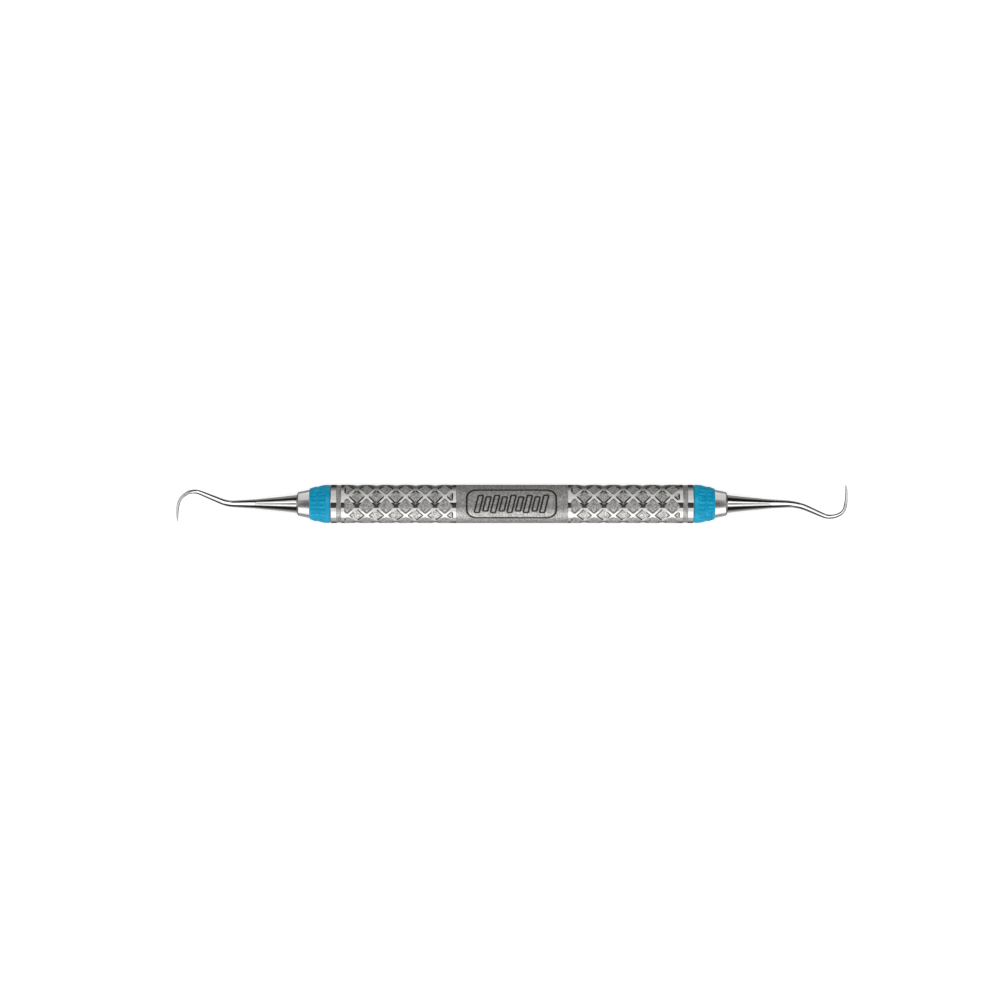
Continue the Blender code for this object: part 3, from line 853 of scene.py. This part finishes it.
def side_box(name, centre_angle, half_angle, half_x, radiance, pieces, offset=0.0):
    """A strip softbox beside the object, seen in reflection only by the pieces given."""
    t = radians(centre_angle)
    high, wide = 2 * math.tan(radians(half_angle)), 2 * half_x
    data = bpy.data.lights.new(name, "AREA")
    data.shape, data.size, data.size_y = "RECTANGLE", wide, high
    data.energy = radiance * pi * wide * high
    ob = bpy.data.objects.new(name, data)
    bpy.context.scene.collection.objects.link(ob)
    ob.location = (offset, sin(t), cos(t))
    ob.rotation_euler = (-t, 0.0, 0.0)
    ob.visible_camera = False
    lit = bpy.data.collections.new(name + "_lit")
    for p in pieces:
        lit.objects.link(p)
    ob.light_linking.receiver_collection = lit
    return ob


def aimed_box(name, location, size, radiance, pieces):
    """A square softbox that faces the object, seen only by the pieces given."""
    data = bpy.data.lights.new(name, "AREA")
    data.shape, data.size = "SQUARE", size
    data.energy = radiance * pi * size * size
    ob = bpy.data.objects.new(name, data)
    bpy.context.scene.collection.objects.link(ob)
    ob.location = location
    ob.rotation_euler = (-Vector(location)).to_track_quat("-Z", "Y").to_euler()
    ob.visible_camera = False
    lit = bpy.data.collections.new(name + "_lit")
    for p in pieces:
        lit.objects.link(p)
    ob.light_linking.receiver_collection = lit
    return ob


def soft_light(name, location, size, power):
    data = bpy.data.lights.new(name, "AREA")
    data.shape = "DISK"
    data.size = size
    data.energy = power
    ob = bpy.data.objects.new(name, data)
    bpy.context.scene.collection.objects.link(ob)
    ob.location = location
    ob.rotation_euler = (-Vector(location)).to_track_quat("-Z", "Y").to_euler()
    ob.visible_glossy = False
    ob.visible_camera = False
    return ob


def floor():
    mesh = bpy.data.meshes.new("floor")
    s, z = 30.0, -TUBE_R * MM - 0.00001
    mesh.from_pydata([(-s, -s, z), (s, -s, z), (s, s, z), (-s, s, z)], [], [(0, 1, 2, 3)])
    mat, bsdf, n, obj = start("floor_paper", 0.0, 0.9, (0.88, 0.88, 0.88))
    bsdf.inputs["Emission Color"].default_value = (1.0, 1.0, 1.0, 1.0)
    bsdf.inputs["Emission Strength"].default_value = 0.45
    bsdf.inputs["Specular IOR Level"].default_value = 0.0
    mesh.materials.append(mat)
    ob = bpy.data.objects.new("floor", mesh)
    bpy.context.scene.collection.objects.link(ob)
    ob.visible_glossy = False
    return ob


studio_world()
floor()
side_box("front_box", -69.0, 22.5, 0.5, 1.34, [tube])
side_box("back_box", 62.0, 25.0, 0.42, 0.34, [tube])
for sign in (-1, 1):
    side_box("knurl_fill", 13.5, 19.5, 0.14, 0.55, [tube], sign * 0.45)
side_box("top_box", 0.0, 33.0, 0.265, 1.5, ends)
for sign in (-1, 1):
    for tilt in (-21.0, 21.0):
        side_box("top_wing", tilt, 12.0, 0.0475, 1.25, ends, sign * 0.3125)
side_box("left_fill", -42.0, 9.0, 0.095, 1.2, ends[:1], -0.455)
side_box("right_fill", 42.0, 9.0, 0.095, 1.2, ends[1:], 0.455)
aimed_box("left_blade_box", (-0.95, 0.42, 0.42), 1.75, 0.60, ends[:1])
aimed_box("right_blade_box", (1.0, -0.25, 0.45), 0.95, 0.75, ends[1:])
side_box("ring_front_box", -78.0, 12.0, 0.8, 3.9, rings)
side_box("ring_top_box", 22.0, 10.0, 0.3, 2.4, rings)
side_box("cone_front_box", -69.0, 32.0, 0.9, 1.75, cones)
side_box("cone_back_box", 75.0, 40.0, 0.9, 0.95, cones)
soft_light("overhead", (0.0, -0.05, 1.6), 2.2, 26.0)

camera = bpy.data.cameras.new("camera")
camera.lens = 200.0
camera.sensor_width = 36.0
camera.clip_start, camera.clip_end = 0.01, 100.0
view = bpy.data.objects.new("camera", camera)
bpy.context.scene.collection.objects.link(view)
SCALE = 0.248                 # mm per pixel at the handle's axis
span = SCALE * 1000.0 * MM
view.location = (-12.1 * SCALE * MM, 3.9 * SCALE * MM, span * camera.lens / camera.sensor_width)
view.rotation_euler = (0.0, 0.0, 0.0)
bpy.context.scene.camera = view
bpy.context.scene.view_settings.view_transform = "Standard"
bpy.context.scene.view_settings.look = "None"
